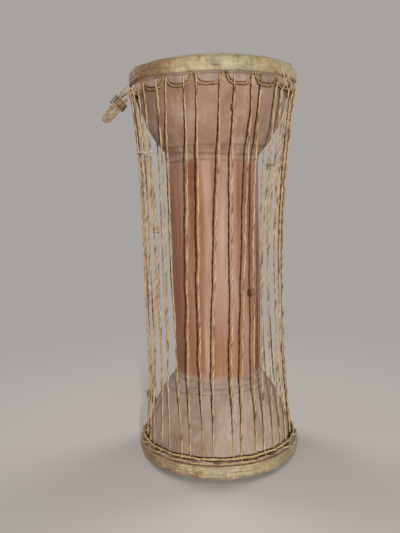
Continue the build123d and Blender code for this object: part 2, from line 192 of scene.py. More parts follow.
def ring_ripple(turns, seed, lobes):
    """Unevenness round the drum alone."""
    return ripple(turns, 0, seed, lobes, 1.0)


def ring_of(columns):
    """Azimuths round the drum as one row, and a row of ones."""
    return np.linspace(0, 360, columns, endpoint=False)[None, :], np.ones((1, columns))


def right_of(out):
    return np.array([-out[1], out[0], 0])


# Cords
def route_line(points, cyclic=False):
    """Points along a smooth spline that has the route's points as its control points."""
    data = bpy.data.curves.new("route", "CURVE")
    data.dimensions = "3D"
    data.resolution_u = 14
    spline = data.splines.new("NURBS")
    spline.points.add(len(points) - 1)
    for control, point in zip(spline.points, points):
        control.co = (*point, 1.0)
    spline.use_cyclic_u = cyclic
    spline.order_u = 3
    spline.use_endpoint_u = not cyclic
    guide = bpy.data.objects.new("route", data)
    mesh = bpy.data.meshes.new_from_object(guide)
    line = np.array([vertex.co[:] for vertex in mesh.vertices])
    bpy.data.objects.remove(guide)
    bpy.data.meshes.remove(mesh)
    bpy.data.curves.remove(data)
    return line


def spaced(line, step, closed=False):
    """The line's points at even steps."""
    if closed:
        line = np.vstack([line, line[:1]])
    run = np.concatenate([[0], np.cumsum(np.linalg.norm(np.diff(line, axis=0), axis=1))])
    count = max(4, int(round(run[-1] / step)))
    marks = np.linspace(0, run[-1], count + 1)
    if closed:
        marks = marks[:-1]
    return np.stack([np.interp(marks, run, line[:, axis]) for axis in range(3)], axis=-1), run[-1]


def carried_frames(line, closed):
    """Tangent, normal and side at each point, turning as little as the line allows."""
    if closed:
        tangents = np.roll(line, -1, axis=0) - np.roll(line, 1, axis=0)
    else:
        tangents = np.gradient(line, axis=0)
    tangents /= np.linalg.norm(tangents, axis=1)[:, None]
    start = np.cross(tangents[0], (0.31, 0.87, 0.38))
    normals = [start / np.linalg.norm(start)]
    for tangent in tangents[1:]:
        normal = normals[-1] - tangent * normals[-1].dot(tangent)
        normals.append(normal / np.linalg.norm(normal))
    normals = np.array(normals)
    return tangents, normals, np.cross(tangents, normals)


PLIES, PLY_DEEP, PLY_WIDE = 2, 1.02, 0.68
# Where a ply and a cord start in the pattern along them, so that no two look alike.
PLY_SHIFT, SEED_SHIFT = 0.37, 0.113
# Size and length of the slow waves in a cord's twist and in its thickness.
TURN_WAVES, FAT_WAVES = ((0.5, 31), (0.3, 13)), ((0.05, 7.3), (0.04, 3.1))


def waves_along(run, waves, rng):
    return sum(size * np.sin(run / length + rng.uniform(0, 6)) for size, length in waves)


def twisted(line, radius, pitch, closed=False, sides=7, step=1.0, seed=1, taper=0.0, spread=0.46):
    """Points, faces, groove and along of a twisted cord."""
    line, length = spaced(line, step, closed)
    tangents, normals, across = carried_frames(line, closed)
    count = len(line)
    rng = np.random.RandomState(seed)
    run = np.arange(count) * (length / (count if closed else count - 1))
    if closed:
        last = normals[-1] - tangents[0] * normals[-1].dot(tangents[0])
        slip = math.atan2(last.dot(across[0]), last.dot(normals[0]))
        turn = (2 * math.pi * round(length / pitch) - slip) * run / length
    else:
        turn = 2 * math.pi * run / pitch + waves_along(run, TURN_WAVES, rng)
    fat = 1 + waves_along(run, FAT_WAVES, rng)
    if taper:
        fat = fat * (1 - taper * smooth(run, length * 0.25, length))
    around = 2 * math.pi * np.arange(sides) / sides
    parts = []
    for ply in range(PLIES):
        angle = turn + 2 * math.pi * ply / PLIES
        out = normals * np.cos(angle)[:, None] + across * np.sin(angle)[:, None]
        aside = np.cross(tangents, out)
        centre = line + out * (spread * radius * fat)[:, None]
        ring = (out[:, None, :] * np.cos(around)[None, :, None] * (PLY_DEEP - spread)
                + aside[:, None, :] * np.sin(around)[None, :, None] * PLY_WIDE)
        cloud = centre[:, None, :] + ring * (radius * fat)[:, None, None]
        groove = np.tile((1 - np.cos(around)) / 2, count)
        along = np.repeat(run * MM + PLY_SHIFT * ply + SEED_SHIFT * seed, sides)
        parts.append((cloud.reshape(-1, 3), grid_faces(count, sides, closed), groove, along))
    return joined(parts)


def joined(parts):
    """Several runs as one: points, faces and the values at the points."""
    faces, base = [], 0
    for points, own, *_ in parts:
        faces += [[index + base for index in face] for face in own]
        base += len(points)
    clouds, _, *values = zip(*parts)
    return np.vstack(clouds), faces, *[np.concatenate(entry) for entry in values]


def cord_piece(name, part, finish):
    points, faces, groove, along = part
    return make_piece(name, points, faces, finish, groove=groove, along=along)


# Finishes
class Nodes:
    """Short calls that add nodes to a tree."""

    def __init__(self, tree):
        self.tree = tree

    def node(self, kind, feeds=(), **settings):
        """New node with its settings; feeds holds its inputs by name or number."""
        node = self.tree.nodes.new(kind)
        for key, value in settings.items():
            setattr(node, key, value)
        for key, value in dict(feeds).items():
            self.feed(node.inputs[key], value)
        return node

    def feed(self, socket, value):
        if isinstance(value, bpy.types.NodeSocket):
            self.tree.links.new(value, socket)
        elif hasattr(value, "__len__") and len(value) == 3 and socket.type == "RGBA":
            socket.default_value = (*value, 1)
        else:
            socket.default_value = value

    def position(self):
        return self.node("ShaderNodeTexCoord").outputs["Object"]

    def axis(self, letter):
        return self.node("ShaderNodeSeparateXYZ", {0: self.position()}).outputs[letter]

    def from_axis(self):
        """Distance from the drum's axis."""
        squares = [self.math("POWER", self.axis(letter), 2.0) for letter in "XY"]
        return self.math("SQRT", self.math("ADD", *squares))

    def value(self, name):
        return self.node("ShaderNodeAttribute", attribute_name=name).outputs["Fac"]

    def cloud(self, scale, detail=4.0, rough=0.55, bend=0.0):
        scaled = self.node("ShaderNodeMapping", {"Vector": self.position(), "Scale": scale}).outputs[0]
        feeds = {"Vector": scaled, "Scale": 1.0, "Detail": detail, "Roughness": rough, "Distortion": bend}
        return self.node("ShaderNodeTexNoise", feeds).outputs[0]

    def math(self, operation, a, b=0.0):
        return self.node("ShaderNodeMath", {0: a, 1: b}, operation=operation).outputs[0]

    def times(self, a, b):
        return self.math("MULTIPLY", a, b)

    def span(self, value, low, high, to_low=0.0, to_high=1.0):
        feeds = enumerate((value, low, high, to_low, to_high))
        return self.node("ShaderNodeMapRange", feeds, interpolation_type="SMOOTHSTEP").outputs[0]

    def ramp(self, value, *stops):
        node = self.node("ShaderNodeValToRGB", {0: value})
        entries = node.color_ramp.elements
        while len(entries) < len(stops):
            entries.new(0.5)
        for entry, (position, colour) in zip(entries, stops):
            entry.position = position
            entry.color = (*colour, 1)
        return node.outputs[0]

    def mix(self, share, first, second):
        return self.node("ShaderNodeMix", {0: share, 6: first, 7: second}, data_type="RGBA").outputs[2]

    def direct_rays(self):
        """1 for rays from the camera, or from a mirror-like or clear surface, and 0 for light on the drum."""
        rays = self.node("ShaderNodeLightPath").outputs
        mirrored = self.math("MAXIMUM", rays["Is Glossy Ray"], rays["Is Transmission Ray"])
        return self.math("MAXIMUM", rays["Is Camera Ray"], mirrored)


class Finish(Nodes):
    """A material and its nodes."""

    def __init__(self, name, roughness, specular=0.18):
        self.material = bpy.data.materials.new(name)
        self.material.use_nodes = True
        super().__init__(self.material.node_tree)
        self.shader = self.tree.nodes["Principled BSDF"]
        self.shader.inputs["Roughness"].default_value = roughness
        self.shader.inputs["Specular IOR Level"].default_value = specular

    def bump(self, height, distance, strength):
        feeds = {"Strength": strength, "Distance": distance, "Height": height}
        normal = self.shader.inputs["Normal"]
        if normal.links:
            feeds["Normal"] = normal.links[0].from_socket
        self.feed(normal, self.node("ShaderNodeBump", feeds).outputs[0])

    def done(self, colour, rough=None):
        self.feed(self.shader.inputs["Base Color"], colour)
        if rough is not None:
            self.feed(self.shader.inputs["Roughness"], rough)
        return self.material


# Fixed tones of the finishes, beside those that a user may change
LOW_CUP_DARK, LOW_CUP_PALE = (0.24, 0.165, 0.12), (0.45, 0.37, 0.32)
HIGH_CUP_DARK, HIGH_CUP_PALE = (0.23, 0.125, 0.075), (0.43, 0.315, 0.25)
WAIST_DARK, WAIST_PALE = (0.22, 0.085, 0.045), (0.43, 0.28, 0.21)
# Painted highlight down the middle of the waist, and painted shade on its left side
WAIST_PAINTED_HIGHLIGHT, WAIST_PAINTED_SHADE = (0.43, 0.295, 0.228), (0.25, 0.088, 0.042)
# The last is the tone of the darker cut lines, the painted shadow under the collars and the darker bore
WOOD_GRAIN, WOOD_DUST, DARK_LINES_AND_PAINTED_SHADE = (0.20, 0.105, 0.062), (0.50, 0.425, 0.385), (0.085, 0.04, 0.024)
HEAD_DARK, HEAD_PALE = (0.33, 0.24, 0.14), (0.60, 0.53, 0.40)
HEAD_VEIN, HEAD_WORN = (0.27, 0.17, 0.085), (0.30, 0.19, 0.10)
BAND_DARK, BAND_LIGHT, BAND_PALE = (0.15, 0.088, 0.038), (0.50, 0.41, 0.26), (0.66, 0.57, 0.37)
BAND_FIBRE, BAND_GREEN = (0.21, 0.135, 0.065), (0.30, 0.30, 0.215)
# Stain on the left of the band, and painted shade on its right
BAND_LEFT, BAND_RIGHT_PAINTED_SHADE = (0.17, 0.066, 0.012), (0.24, 0.15, 0.055)
# The last is the brown of the painted shade in the folds and of the painted shadow lines along the band's
# foot and the hem's edge
HEM_DARK, HEM_PALE, FOLD_SHADE_BROWN = (0.20, 0.145, 0.115), (0.44, 0.34, 0.28), (0.12, 0.062, 0.028)
CANE_DARK = (0.22, 0.14, 0.07)
LEFT_STAIN = {TOP: 0.95, BOTTOM: 0.6}


def carved_wood(tones):
    """Worn wood: dusty cups, a redder waist with a painted highlight down its middle and painted shade on its
    left, streaks, grain, darker cut lines, and painted shadow under the collars.
    """
    f = Finish("carved_wood", 0.62)
    height, across = f.axis("Z"), f.axis("X")
    level = f.math("ADD", height, f.times(f.cloud((9, 9, 4)), 0.022))
    waist = f.times(f.span(level, 0.097, 0.109), f.span(level, 0.312, 0.318, 1.0, 0.0))
    streak = f.cloud((95, 95, 5), detail=6)
    blotch = f.cloud((26, 26, 17), detail=7, rough=0.62, bend=0.8)
    low_cup = f.ramp(blotch, (0.3, LOW_CUP_DARK), (0.5, tones.wood_low), (0.72, LOW_CUP_PALE))
    high_cup = f.ramp(blotch, (0.32, HIGH_CUP_DARK), (0.5, tones.wood_high), (0.70, HIGH_CUP_PALE))
    cups = f.mix(f.span(height, 0.18, 0.24), low_cup, high_cup)
    red = f.ramp(streak, (0.34, WAIST_DARK), (0.5, tones.wood_waist), (0.66, WAIST_PALE))
    # Painted highlight: a pale streak down the middle of the upper waist, front and back.
    middle = f.span(f.math("ABSOLUTE", across), 0.010, 0.034, 1.0, 0.12)
    front = f.times(middle, f.span(height, 0.12, 0.19))
    painted_highlight = f.times(front, f.span(f.cloud((17, 17, 3.2), detail=4), 0.40, 0.60))
    colour = f.mix(waist, cups, f.mix(painted_highlight, red, WAIST_PAINTED_HIGHLIGHT))
    grain = f.cloud((520, 520, 22), detail=3)
    colour = f.mix(f.span(grain, 0.42, 0.7, 0.0, 0.30), colour, WOOD_GRAIN)
    dust = f.span(f.cloud((70, 70, 60), detail=8, rough=0.7), 0.52, 0.75, 0.0, 0.45)
    dust = f.times(dust, f.math("SUBTRACT", 1.0, f.times(waist, 0.6)))
    colour = f.mix(dust, colour, WOOD_DUST)
    # Painted shade: the left side of the waist darker and redder, partly the wood's own tone.
    shade = f.times(f.span(across, -0.050, -0.012, 0.5, 0.0), waist)
    colour = f.mix(shade, colour, WAIST_PAINTED_SHADE)
    # Darker cut lines, painted shadow under the collars and a darker bore.
    colour = f.mix(f.times(f.value("groove"), 0.75), colour, DARK_LINES_AND_PAINTED_SHADE)
    f.bump(grain, 0.0004, 0.35)
    f.bump(streak, 0.0012, 0.30)
    f.bump(f.cloud((240, 240, 180), detail=5), 0.0005, 0.30)
    return f.done(colour, f.span(blotch, 0.3, 0.7, 0.50, 0.74))


def head_hide(tones):
    """Scraped skin: cream and tan clouds, fine veins and a darker worn middle."""
    f = Finish("head_hide", 0.55, 0.28)
    cloud = f.cloud((22, 22, 22), detail=7, rough=0.6, bend=0.8)
    colour = f.ramp(cloud, (0.3, HEAD_DARK), (0.52, tones.hide), (0.72, HEAD_PALE))
    veins = f.cloud((75, 75, 75), detail=8, rough=0.75, bend=2.2)
    colour = f.mix(f.span(veins, 0.56, 0.66, 0.0, 0.35), colour, HEAD_VEIN)
    worn = f.times(f.span(f.from_axis(), 0.012, 0.055, 0.45, 0.0), cloud)
    colour = f.mix(worn, colour, HEAD_WORN)
    f.bump(cloud, 0.0012, 0.35)
    f.bump(f.cloud((420, 420, 420), detail=4), 0.0003, 0.4)
    return f.done(colour, f.span(cloud, 0.3, 0.7, 0.44, 0.66))


def collar_hide(name, tones, stain):
    """Lapped skin: mottled band with upright striation, a stain on the left, painted shade on the right,
    painted shade in the folds and painted shadow lines, and a greyer hem.
    """
    f = Finish(name, 0.6, 0.16)
    across = f.axis("X")
    mottle = f.cloud((95, 95, 130), detail=9, rough=0.68, bend=0.7)
    colour = f.ramp(mottle, (0.33, BAND_DARK), (0.45, tones.band), (0.58, BAND_LIGHT), (0.70, BAND_PALE))
    fibre = f.cloud((700, 700, 45), detail=4, rough=0.6)
    colour = f.mix(f.span(fibre, 0.45, 0.7, 0.0, 0.38), colour, BAND_FIBRE)
    green = f.span(f.cloud((38, 38, 30), detail=4), 0.50, 0.64, 0.0, 0.45)
    colour = f.mix(green, colour, BAND_GREEN)
    left = f.span(across, -0.066, -0.012, stain, 0.0)
    left = f.times(left, f.span(mottle, 0.30, 0.62, 1.0, 0.75))
    colour = f.mix(left, colour, BAND_LEFT)
    # Painted shade: the right side of the band darker.
    colour = f.mix(f.span(across, 0.015, 0.060, 0.0, 0.30), colour, BAND_RIGHT_PAINTED_SHADE)
    tabs = f.ramp(f.cloud((90, 90, 60), detail=6), (0.32, HEM_DARK), (0.52, tones.hem), (0.72, HEM_PALE))
    colour = f.mix(f.value("hem"), colour, tabs)
    # Painted shade in the folds, and painted shadow along the band's foot and the hem's edge.
    colour = f.mix(f.times(f.value("fold"), 0.85), colour, FOLD_SHADE_BROWN)
    f.bump(mottle, 0.0010, 0.45)
    f.bump(fibre, 0.0005, 0.45)
    return f.done(colour, f.span(mottle, 0.3, 0.7, 0.48, 0.70))


def twisted_hide(name, light, dark, pale, dirt, painted_ply_shade=0.6):
    """Twisted raw hide: bright crests, painted shade between the plies, and dirt along its length."""
    f = Finish(name, 0.46, 0.26)
    reach = f.node("ShaderNodeCombineXYZ", {0: f.value("along")}).outputs[0]
    tone = f.node("ShaderNodeTexNoise", {"Vector": reach, "Scale": 60, "Detail": 5}).outputs[0]
    colour = f.ramp(tone, (0.34, dark), (0.49, light), (0.68, pale))
    colour = f.mix(f.span(f.cloud((60, 60, 60), detail=5), 0.50, 0.68, 0.0, dirt), colour, dark)
    # Painted shade: the plies darker where they meet.
    ply_shade = f.span(f.value("groove"), 0.30, 0.90, 0.0, painted_ply_shade)
    colour = f.mix(ply_shade, colour, [part * 0.45 for part in dark])
    f.bump(f.cloud((900, 900, 240), detail=3), 0.0003, 0.5)
    return f.done(colour, f.span(tone, 0.3, 0.7, 0.60, 0.36))


def cut_hide(name, light, dark):
    """Flat cut strip of dry hide with darker ends."""
    f = Finish(name, 0.58)
    cloud = f.cloud((160, 160, 160), detail=6)
    colour = f.ramp(cloud, (0.3, dark), (0.5, light), (0.75, [min(1, part * 1.2) for part in light]))
    colour = f.mix(f.times(f.value("tip"), 0.85), colour, [part * 0.3 for part in dark])
    f.bump(cloud, 0.0004, 0.5)
    return f.done(colour)


def bound_cane(tones):
    f = Finish("bound_cane", 0.6)
    grain = f.cloud((300, 300, 900), detail=4)
    colour = f.ramp(grain, (0.35, CANE_DARK), (0.6, tones.cane))
    f.bump(grain, 0.0004, 0.5)
    return f.done(colour)


# Shell and heads
NECK_R = WAIST_R + NECK_ROUND
CUP_R = RIM_R - CUP_ARC
NECK_DEPTH = CUP_STRAIGHT + math.sqrt((CUP_ARC + NECK_ROUND) ** 2 - (NECK_R - CUP_R) ** 2)
NECK_ANGLE = math.atan2(NECK_DEPTH - CUP_STRAIGHT, NECK_R - CUP_R)


def belly(depths, inset=0.0):
    """Radius of the shell's outside, or of its bore, against depth."""
    depths = np.minimum(depths, NECK_DEPTH)
    cup = CUP_R + np.sqrt((CUP_ARC - inset) ** 2 - np.clip(depths - CUP_STRAIGHT, 0, None) ** 2)
    reach = np.clip((NECK_ROUND + inset) ** 2 - (NECK_DEPTH - depths) ** 2, 0, None)
    neck = NECK_R - np.sqrt(reach)
    turn = CUP_STRAIGHT + (CUP_ARC - inset) * math.sin(NECK_ANGLE)
    return np.where(depths < turn, cup, neck)


LIP_ROWS, ROW_FROM, ROW_TO, ROW_STEP = 6, 393.5, 6.4, 1.15
BORE_ROWS, BORE_FROM, BORE_TO = 26, 4, 96
FREE_DEPTHS = (16, 34)  # the unevenness sets in here, clear of the collars
RIDGE_RISE, RIDGE_WIDE = 0.95, 1.2
CUT_DEEP, CUT_WIDE, CUT_AWAY = 0.35, 0.8, 1.9
# The darker line in each cut: share, width and how far it lies from the ridge.
CUT_DARK_SHARE, CUT_DARK_WIDE, CUT_DARK_AWAY = 0.55, 0.6, 1.8
# Size, seed, lobes and length of the carving's unevenness.
TOOL_MARKS = ((0.34, 3, 5, 34), (0.16, 4, 26, 17), (0.10, 5, 60, 5))


def shell_surface(columns):
    """Outside and bore as one closed grid of points, with how dark each point is painted: darker cut lines,
    painted shadow under the collars, random streaks and a darker bore.
    """
    turns, ones = ring_of(columns)
    lip = np.radians(np.linspace(-90, 0, LIP_ROWS))
    lip_r = RIM_R - RIM_ROUND + RIM_ROUND * np.cos(lip)
    lip_d = RIM_DEPTH + RIM_ROUND + RIM_ROUND * np.sin(lip)
    heights = np.concatenate([HEIGHT - lip_d, np.arange(ROW_FROM, ROW_TO, -ROW_STEP), lip_d[::-1]])
    depths = np.minimum(heights, HEIGHT - heights)
    radii = belly(depths)
    radii[:LIP_ROWS], radii[-LIP_ROWS:] = lip_r, lip_r[::-1]
    heights, depths, radii = heights[:, None], depths[:, None], radii[:, None] * ones
    groove = np.zeros_like(radii)
    for side, _ in SIDES:
        own = heights > HEIGHT / 2 if side == TOP else heights <= HEIGHT / 2
        for number, depth in enumerate(RIDGES[side]):
            away = depths - (depth + 0.7 * ring_ripple(turns, 40 + number + 5 * side, 3))
            high = 0.75 + 0.25 * ring_ripple(turns, 60 + number + 5 * side, 7)
            radii += own * RIDGE_RISE * high * hump(away, RIDGE_WIDE)
            radii -= own * CUT_DEEP * hump(away - CUT_AWAY * side, CUT_WIDE)
            # A darker line in each cut.
            groove += own * CUT_DARK_SHARE * hump(away - CUT_DARK_AWAY * side, CUT_DARK_WIDE)
    free = smooth(depths, *FREE_DEPTHS)
    for size, seed, lobes, length in TOOL_MARKS:
        radii += free * size * ripple(turns, heights, seed, lobes, length)
    # Painted shadow: darker from each rim down to the hoop's foot, under the collars; then random dark
    # streaks.
    groove += 0.55 * smooth(14 - depths, -3, 8) + 0.16 * np.clip(ripple(turns, heights, 6, 44, 60), 0, 1)
    bore_d = np.concatenate([[RIM_DEPTH, 2.1], np.linspace(BORE_FROM, BORE_TO, BORE_ROWS)])
    bore_r = belly(bore_d, WALL)
    bore_r[:2] = (RIM_R - WALL + BORE_ROUND, RIM_R - WALL + 0.5)
    bore_h = np.concatenate([bore_d, HEIGHT - bore_d[::-1]])[:, None]
    bore = np.concatenate([bore_r, bore_r[::-1]])[:, None] * ones
    bore[4:-4] += 0.5 * ripple(turns, bore_h[4:-4], 8, 24, 26)
    radii = np.vstack([radii, bore])
    heights = np.vstack([heights, bore_h]) * ones
    # The bore is darker throughout.
    groove = np.vstack([groove, 0.35 * np.ones_like(bore)])
    return turned(radii, heights, BOTTOM, turns), np.clip(groove, 0, 1)


HEAD_DISH, DISH_SPAN = 0.9, (34, 70)
HEAD_UNEVEN, UNEVEN_IN, UNEVEN_OUT = 0.22, (6, 26), (55, 69)


def head_surface(side, columns):
    """Stretched head over the rim and its skirt, outer face then inner face."""
    turns, ones = ring_of(columns)
    edge, low = RIM_R - RIM_ROUND, RIM_DEPTH + RIM_ROUND
    under, skirt_in = RIM_ROUND + HEAD_GAP, RIM_R + SKIRT_GAP
    flat = np.concatenate([[0.5], np.linspace(3, edge, 26)])
    bend = np.radians(np.linspace(-90, 0, 9))[1:]
    outer_r = np.concatenate([flat, edge + low * np.cos(bend), [SKIRT_R, SKIRT_R]])
    outer_d = np.concatenate([0 * flat, low + low * np.sin(bend), [SKIRT_START, SKIRT_DEPTH]])
    inner_r = np.concatenate([[skirt_in, skirt_in], (edge + under * np.cos(bend))[::-1], flat[::-1]])
    inner_d = np.concatenate([[SKIRT_DEPTH, SKIRT_START], (low + under * np.sin(bend))[::-1],
                              0 * flat + RIM_DEPTH - HEAD_GAP])
    radii = np.concatenate([outer_r, inner_r])[:, None] * ones
    depths = np.concatenate([outer_d, inner_d])[:, None] * ones
    uneven = HEAD_UNEVEN * ripple(turns, radii, 21 + side, 7, 17)
    uneven *= smooth(radii, *UNEVEN_IN) * (1 - smooth(radii, *UNEVEN_OUT))
    dish = HEAD_DISH * (1 - smooth(radii, *DISH_SPAN)) + uneven
    depths += np.clip(dish, 0, None) * (radii < DISH_SPAN[1])
    return turned(radii, depths, side, turns)


# Lapped collars
NOTCH_HALF, NOTCH_DEPTH, HEM_DEPTH, HEM_SWAG, LOWER_HEM_DEPTH = 5.6, 17.6, 23.6, 2.1, 20.4
HEM_SHARES = (0.08, 0.15, 0.22, 0.32, 0.5, 0.7, 0.86, 0.96, 1.0)
# Depth and weight of the folds round each band.
FOLDS = {TOP: ((6.6, 0.4), (9.0, 0.3), (11.6, 0.7)),
         BOTTOM: ((4.8, 0.7), (6.6, 0.9), (8.4, 0.8), (10.4, 1.1), (12.4, 0.9), (14.4, 0.9))}
# The last weighs the painted shade in each fold, by band.
FOLD_WIDE, FOLD_DEEP, FOLD_SHADE_TONE = 0.42, 0.55, {TOP: 0.55, BOTTOM: 0.8}
# Depth and width of the painted shadow line along each band's foot, and width of the painted shadow along the
# hem's edge.
SHADE_DEPTH, SHADE_WIDE, EDGE_WIDE = {TOP: 18.3, BOTTOM: HOOP_FOOT_DEPTH}, 0.6, 0.7
SWELL_GAIN, SWELL_RANGE = 1.35, (-1.0, 0.75)
HEM_FROM, HEM_BEVEL = 16.6, 0.25


def hem_line(side, turns):
    """Depth of the hem's edge: swags between the upper pairs, almost level below."""
    if side == BOTTOM:
        return LOWER_HEM_DEPTH + 0.35 * ring_ripple(turns, 71, 30)
    off = np.abs((turns - PHASE + PITCH / 2) % PITCH - PITCH / 2) * math.pi / 180 * HEM_OUT
    share = np.clip((off - NOTCH_HALF) / 8.5, 0, 1)
    swag = HEM_DEPTH + HEM_SWAG * (1 - (1 - share) ** 3)
    notch = NOTCH_DEPTH + (HEM_DEPTH - NOTCH_DEPTH) * smooth(off, 2.4, NOTCH_HALF)
    return np.where(off < NOTCH_HALF, notch, swag) + 0.2 * ring_ripple(turns, 72, 40)


def rounding(centre_r, centre_d, radius, angles):
    """Radius and depth along a rounded edge."""
    return [(centre_r + radius * math.cos(angle), centre_d + radius * math.sin(angle)) for angle in angles]


def collar_surface(side, columns):
    """Hide lapped round the hoop: outer face from the head to the hem's edge, then the inner face."""
    turns, ones = ring_of(columns)
    crown, foot = np.radians(np.linspace(-90, 0, 13)), np.radians(np.linspace(0, 90, 8))
    crown_at = (HOOP_OUT - HOOP_CROWN, HOOP_TOP + HOOP_CROWN)
    foot_at = (HOOP_OUT - HOOP_FOOT, HOOP_FOOT_DEPTH - HOOP_FOOT)
    outer = [(HOOP_IN + 0.1, HOOP_TOP + 0.9), (HOOP_IN + 0.7, HOOP_TOP + 0.15)]
    outer += rounding(*crown_at, HOOP_CROWN, crown)
    outer += [(HOOP_OUT, depth) for depth in np.linspace(7.9, 13.6, 18)]
    outer += rounding(*foot_at, HOOP_FOOT, foot)
    inner = rounding(*foot_at, HOOP_FOOT - HIDE, foot[::-2])
    inner += [(HOOP_OUT - HIDE, 12.5), (HOOP_OUT - HIDE, 9)]
    inner += rounding(*crown_at, HOOP_CROWN - HIDE, crown[::-2])
    inner += [(HOOP_IN + 0.3, HOOP_TOP + 1.5)]
    edge = hem_line(side, turns)
    tuck = HOOP_FOOT_DEPTH - HIDE
    # Each row: radius, depth and whether it is hem.
    rows = [(radius, depth * ones, depth > HEM_FROM) for radius, depth in outer]
    for share in HEM_SHARES:
        rows.append((HEM_OUT - HEM_BEVEL * share ** 3, HOOP_FOOT_DEPTH + (edge - HOOP_FOOT_DEPTH) * share, 1))
    for share in HEM_SHARES[::-2]:
        rows.append((HEM_OUT - HIDE + 0.1 * share, tuck + (edge - HEM_BEVEL - tuck) * share, 1))
    rows += [(radius, depth * ones, 0) for radius, depth in inner]
    radii, depths, hem = (np.vstack([entry * ones for entry in column]) for column in zip(*rows))
    skin = np.zeros_like(radii)
    skin[2:len(outer)] = 1
    skin *= 1 - 0.6 * smooth(depths, 15, 17)
    swell = 0.34 * ripple(turns, depths, 81 + side, 21, 6) + 0.2 * ripple(turns, depths, 82 + side, 80, 9)
    # Painted shade in each fold's crease, and below it painted shadow lines.
    fold = np.zeros_like(radii)
    for number, (depth, weight) in enumerate(FOLDS[side]):
        middle = depth + 0.8 * ring_ripple(turns, 90 + number + 7 * side, 9)
        present = np.clip(0.6 + 0.8 * ring_ripple(turns, 96 + number + 7 * side, 11), 0, 1)
        crease = weight * present * hump(depths - middle, FOLD_WIDE)
        swell -= FOLD_DEEP * crease
        fold += FOLD_SHADE_TONE[side] * crease * skin
    radii += skin * np.clip(SWELL_GAIN * swell, *SWELL_RANGE)
    # Painted shadow: a dark line along the band's foot, and along the hem's edge.
    fold += 0.9 * hump(depths - SHADE_DEPTH[side], SHADE_WIDE) + 0.5 * hem * hump(depths - edge, EDGE_WIDE)
    return turned(radii, depths, side, turns), hem, np.clip(fold, 0, 1)


# Lacing
def leg_azimuth(pair, leg, height):
    """Azimuth of a thong leg at a height, in degrees."""
    centre = pair_azimuth(pair)
    if pair in FRONT_LEGS:
        marks = FRONT_LEGS[pair][leg > 0]
        top = (centre + 180) % 360 - 180 + leg * LEG_HALF
        top += max(-TOP_SHIFT, min(TOP_SHIFT, marks[-1] - top))
    else:
        marks = [centre + LOWER_TWIST * share + leg * half for share, half in PLAIN_LEGS]
        top = centre + leg * LEG_HALF
    return float(np.interp(height, (*LEG_HEIGHTS, LEG_TOP), (*marks, top)))


def leg_point(pair, leg, height, wander=0.0):
    """Point of a thong leg at a height, moved round the cage by the wander."""
    radius = float(np.interp(height, CAGE_HEIGHTS, CAGE_RADII))
    share = min(1, max(0, (height - LEG_LOW) / (LEG_TOP - LEG_LOW)))
    lean = CAGE_LEAN * math.sin(math.pi * share) ** 2
    point = polar(leg_azimuth(pair, leg, height) + math.degrees(wander / radius), radius, height)
    return point - np.array([lean, 0, 0])


def thong_route(pair):
    """One thong from behind the upper cord, down a leg, round the lower cord and up the other leg."""
    rng = np.random.RandomState(100 + pair)
    top_z = HEIGHT - LOOP_DEPTH
    behind = polar(pair_azimuth(pair), LOOP_IN_R, top_z)
    route = [behind]
    for leg in (1, -1):
        top, low = leg_azimuth(pair, leg, LEG_TOP), leg_azimuth(pair, leg, LEG_LOW)
        kinks = LEG_KINK * rng.normal(size=len(LEG_STOPS)) * smooth(LEG_STOPS, 30, 60)
        over = ((LOOP_IN_R, top_z), (LOOP_OUT_R, top_z + 0.2), (LOOP_OUT_R, top_z - 4))
        under = ((LOOP_IN_R, 26), (LOOP_IN_R, LOWER_LOOP_Z), (LOOP_OUT_R, LOWER_LOOP_Z))
        run = [polar(top, *stop) for stop in over]
        run += [leg_point(pair, leg, height, kink) for height, kink in zip(LEG_STOPS, kinks)]
        run += [polar(low, *stop) for stop in under]
        route += run[::leg]
    return route + [behind]


def cord_route(side):
    """Route of a lapping cord: over each pair and in a swag between pairs."""
    twist = 0 if side == TOP else LOWER_TWIST
    rng = np.random.RandomState(50 + side)
    route = []
    for pair in range(1, PAIRS + 1):
        for turn, depth in CORD_STOPS[side]:
            azimuth = pair_azimuth(pair) + twist + turn + 0.16 * rng.normal()
            radius = CORD_RING_R + 0.1 * rng.normal()
            route.append(polar(azimuth, radius, height_at(side, depth + 0.22 * rng.normal())))
    return route


# Ties on the thongs
STRIP_PAIR, STRIP_HEIGHT, STRIP_SEAT, STRIP_REACH = 16, 315, 2.0, 15.0
STRIP_WIDE, STRIP_THICK, END_WIDE, END_THICK = 3.6, 0.9, 3.4, 0.8
WRAP_PITCH, WHISKER_PITCH, WHISKER_SHARE, STRAY_R, STRAY_PITCH = 5.0, 6.0, 0.85, 0.6, 9.0
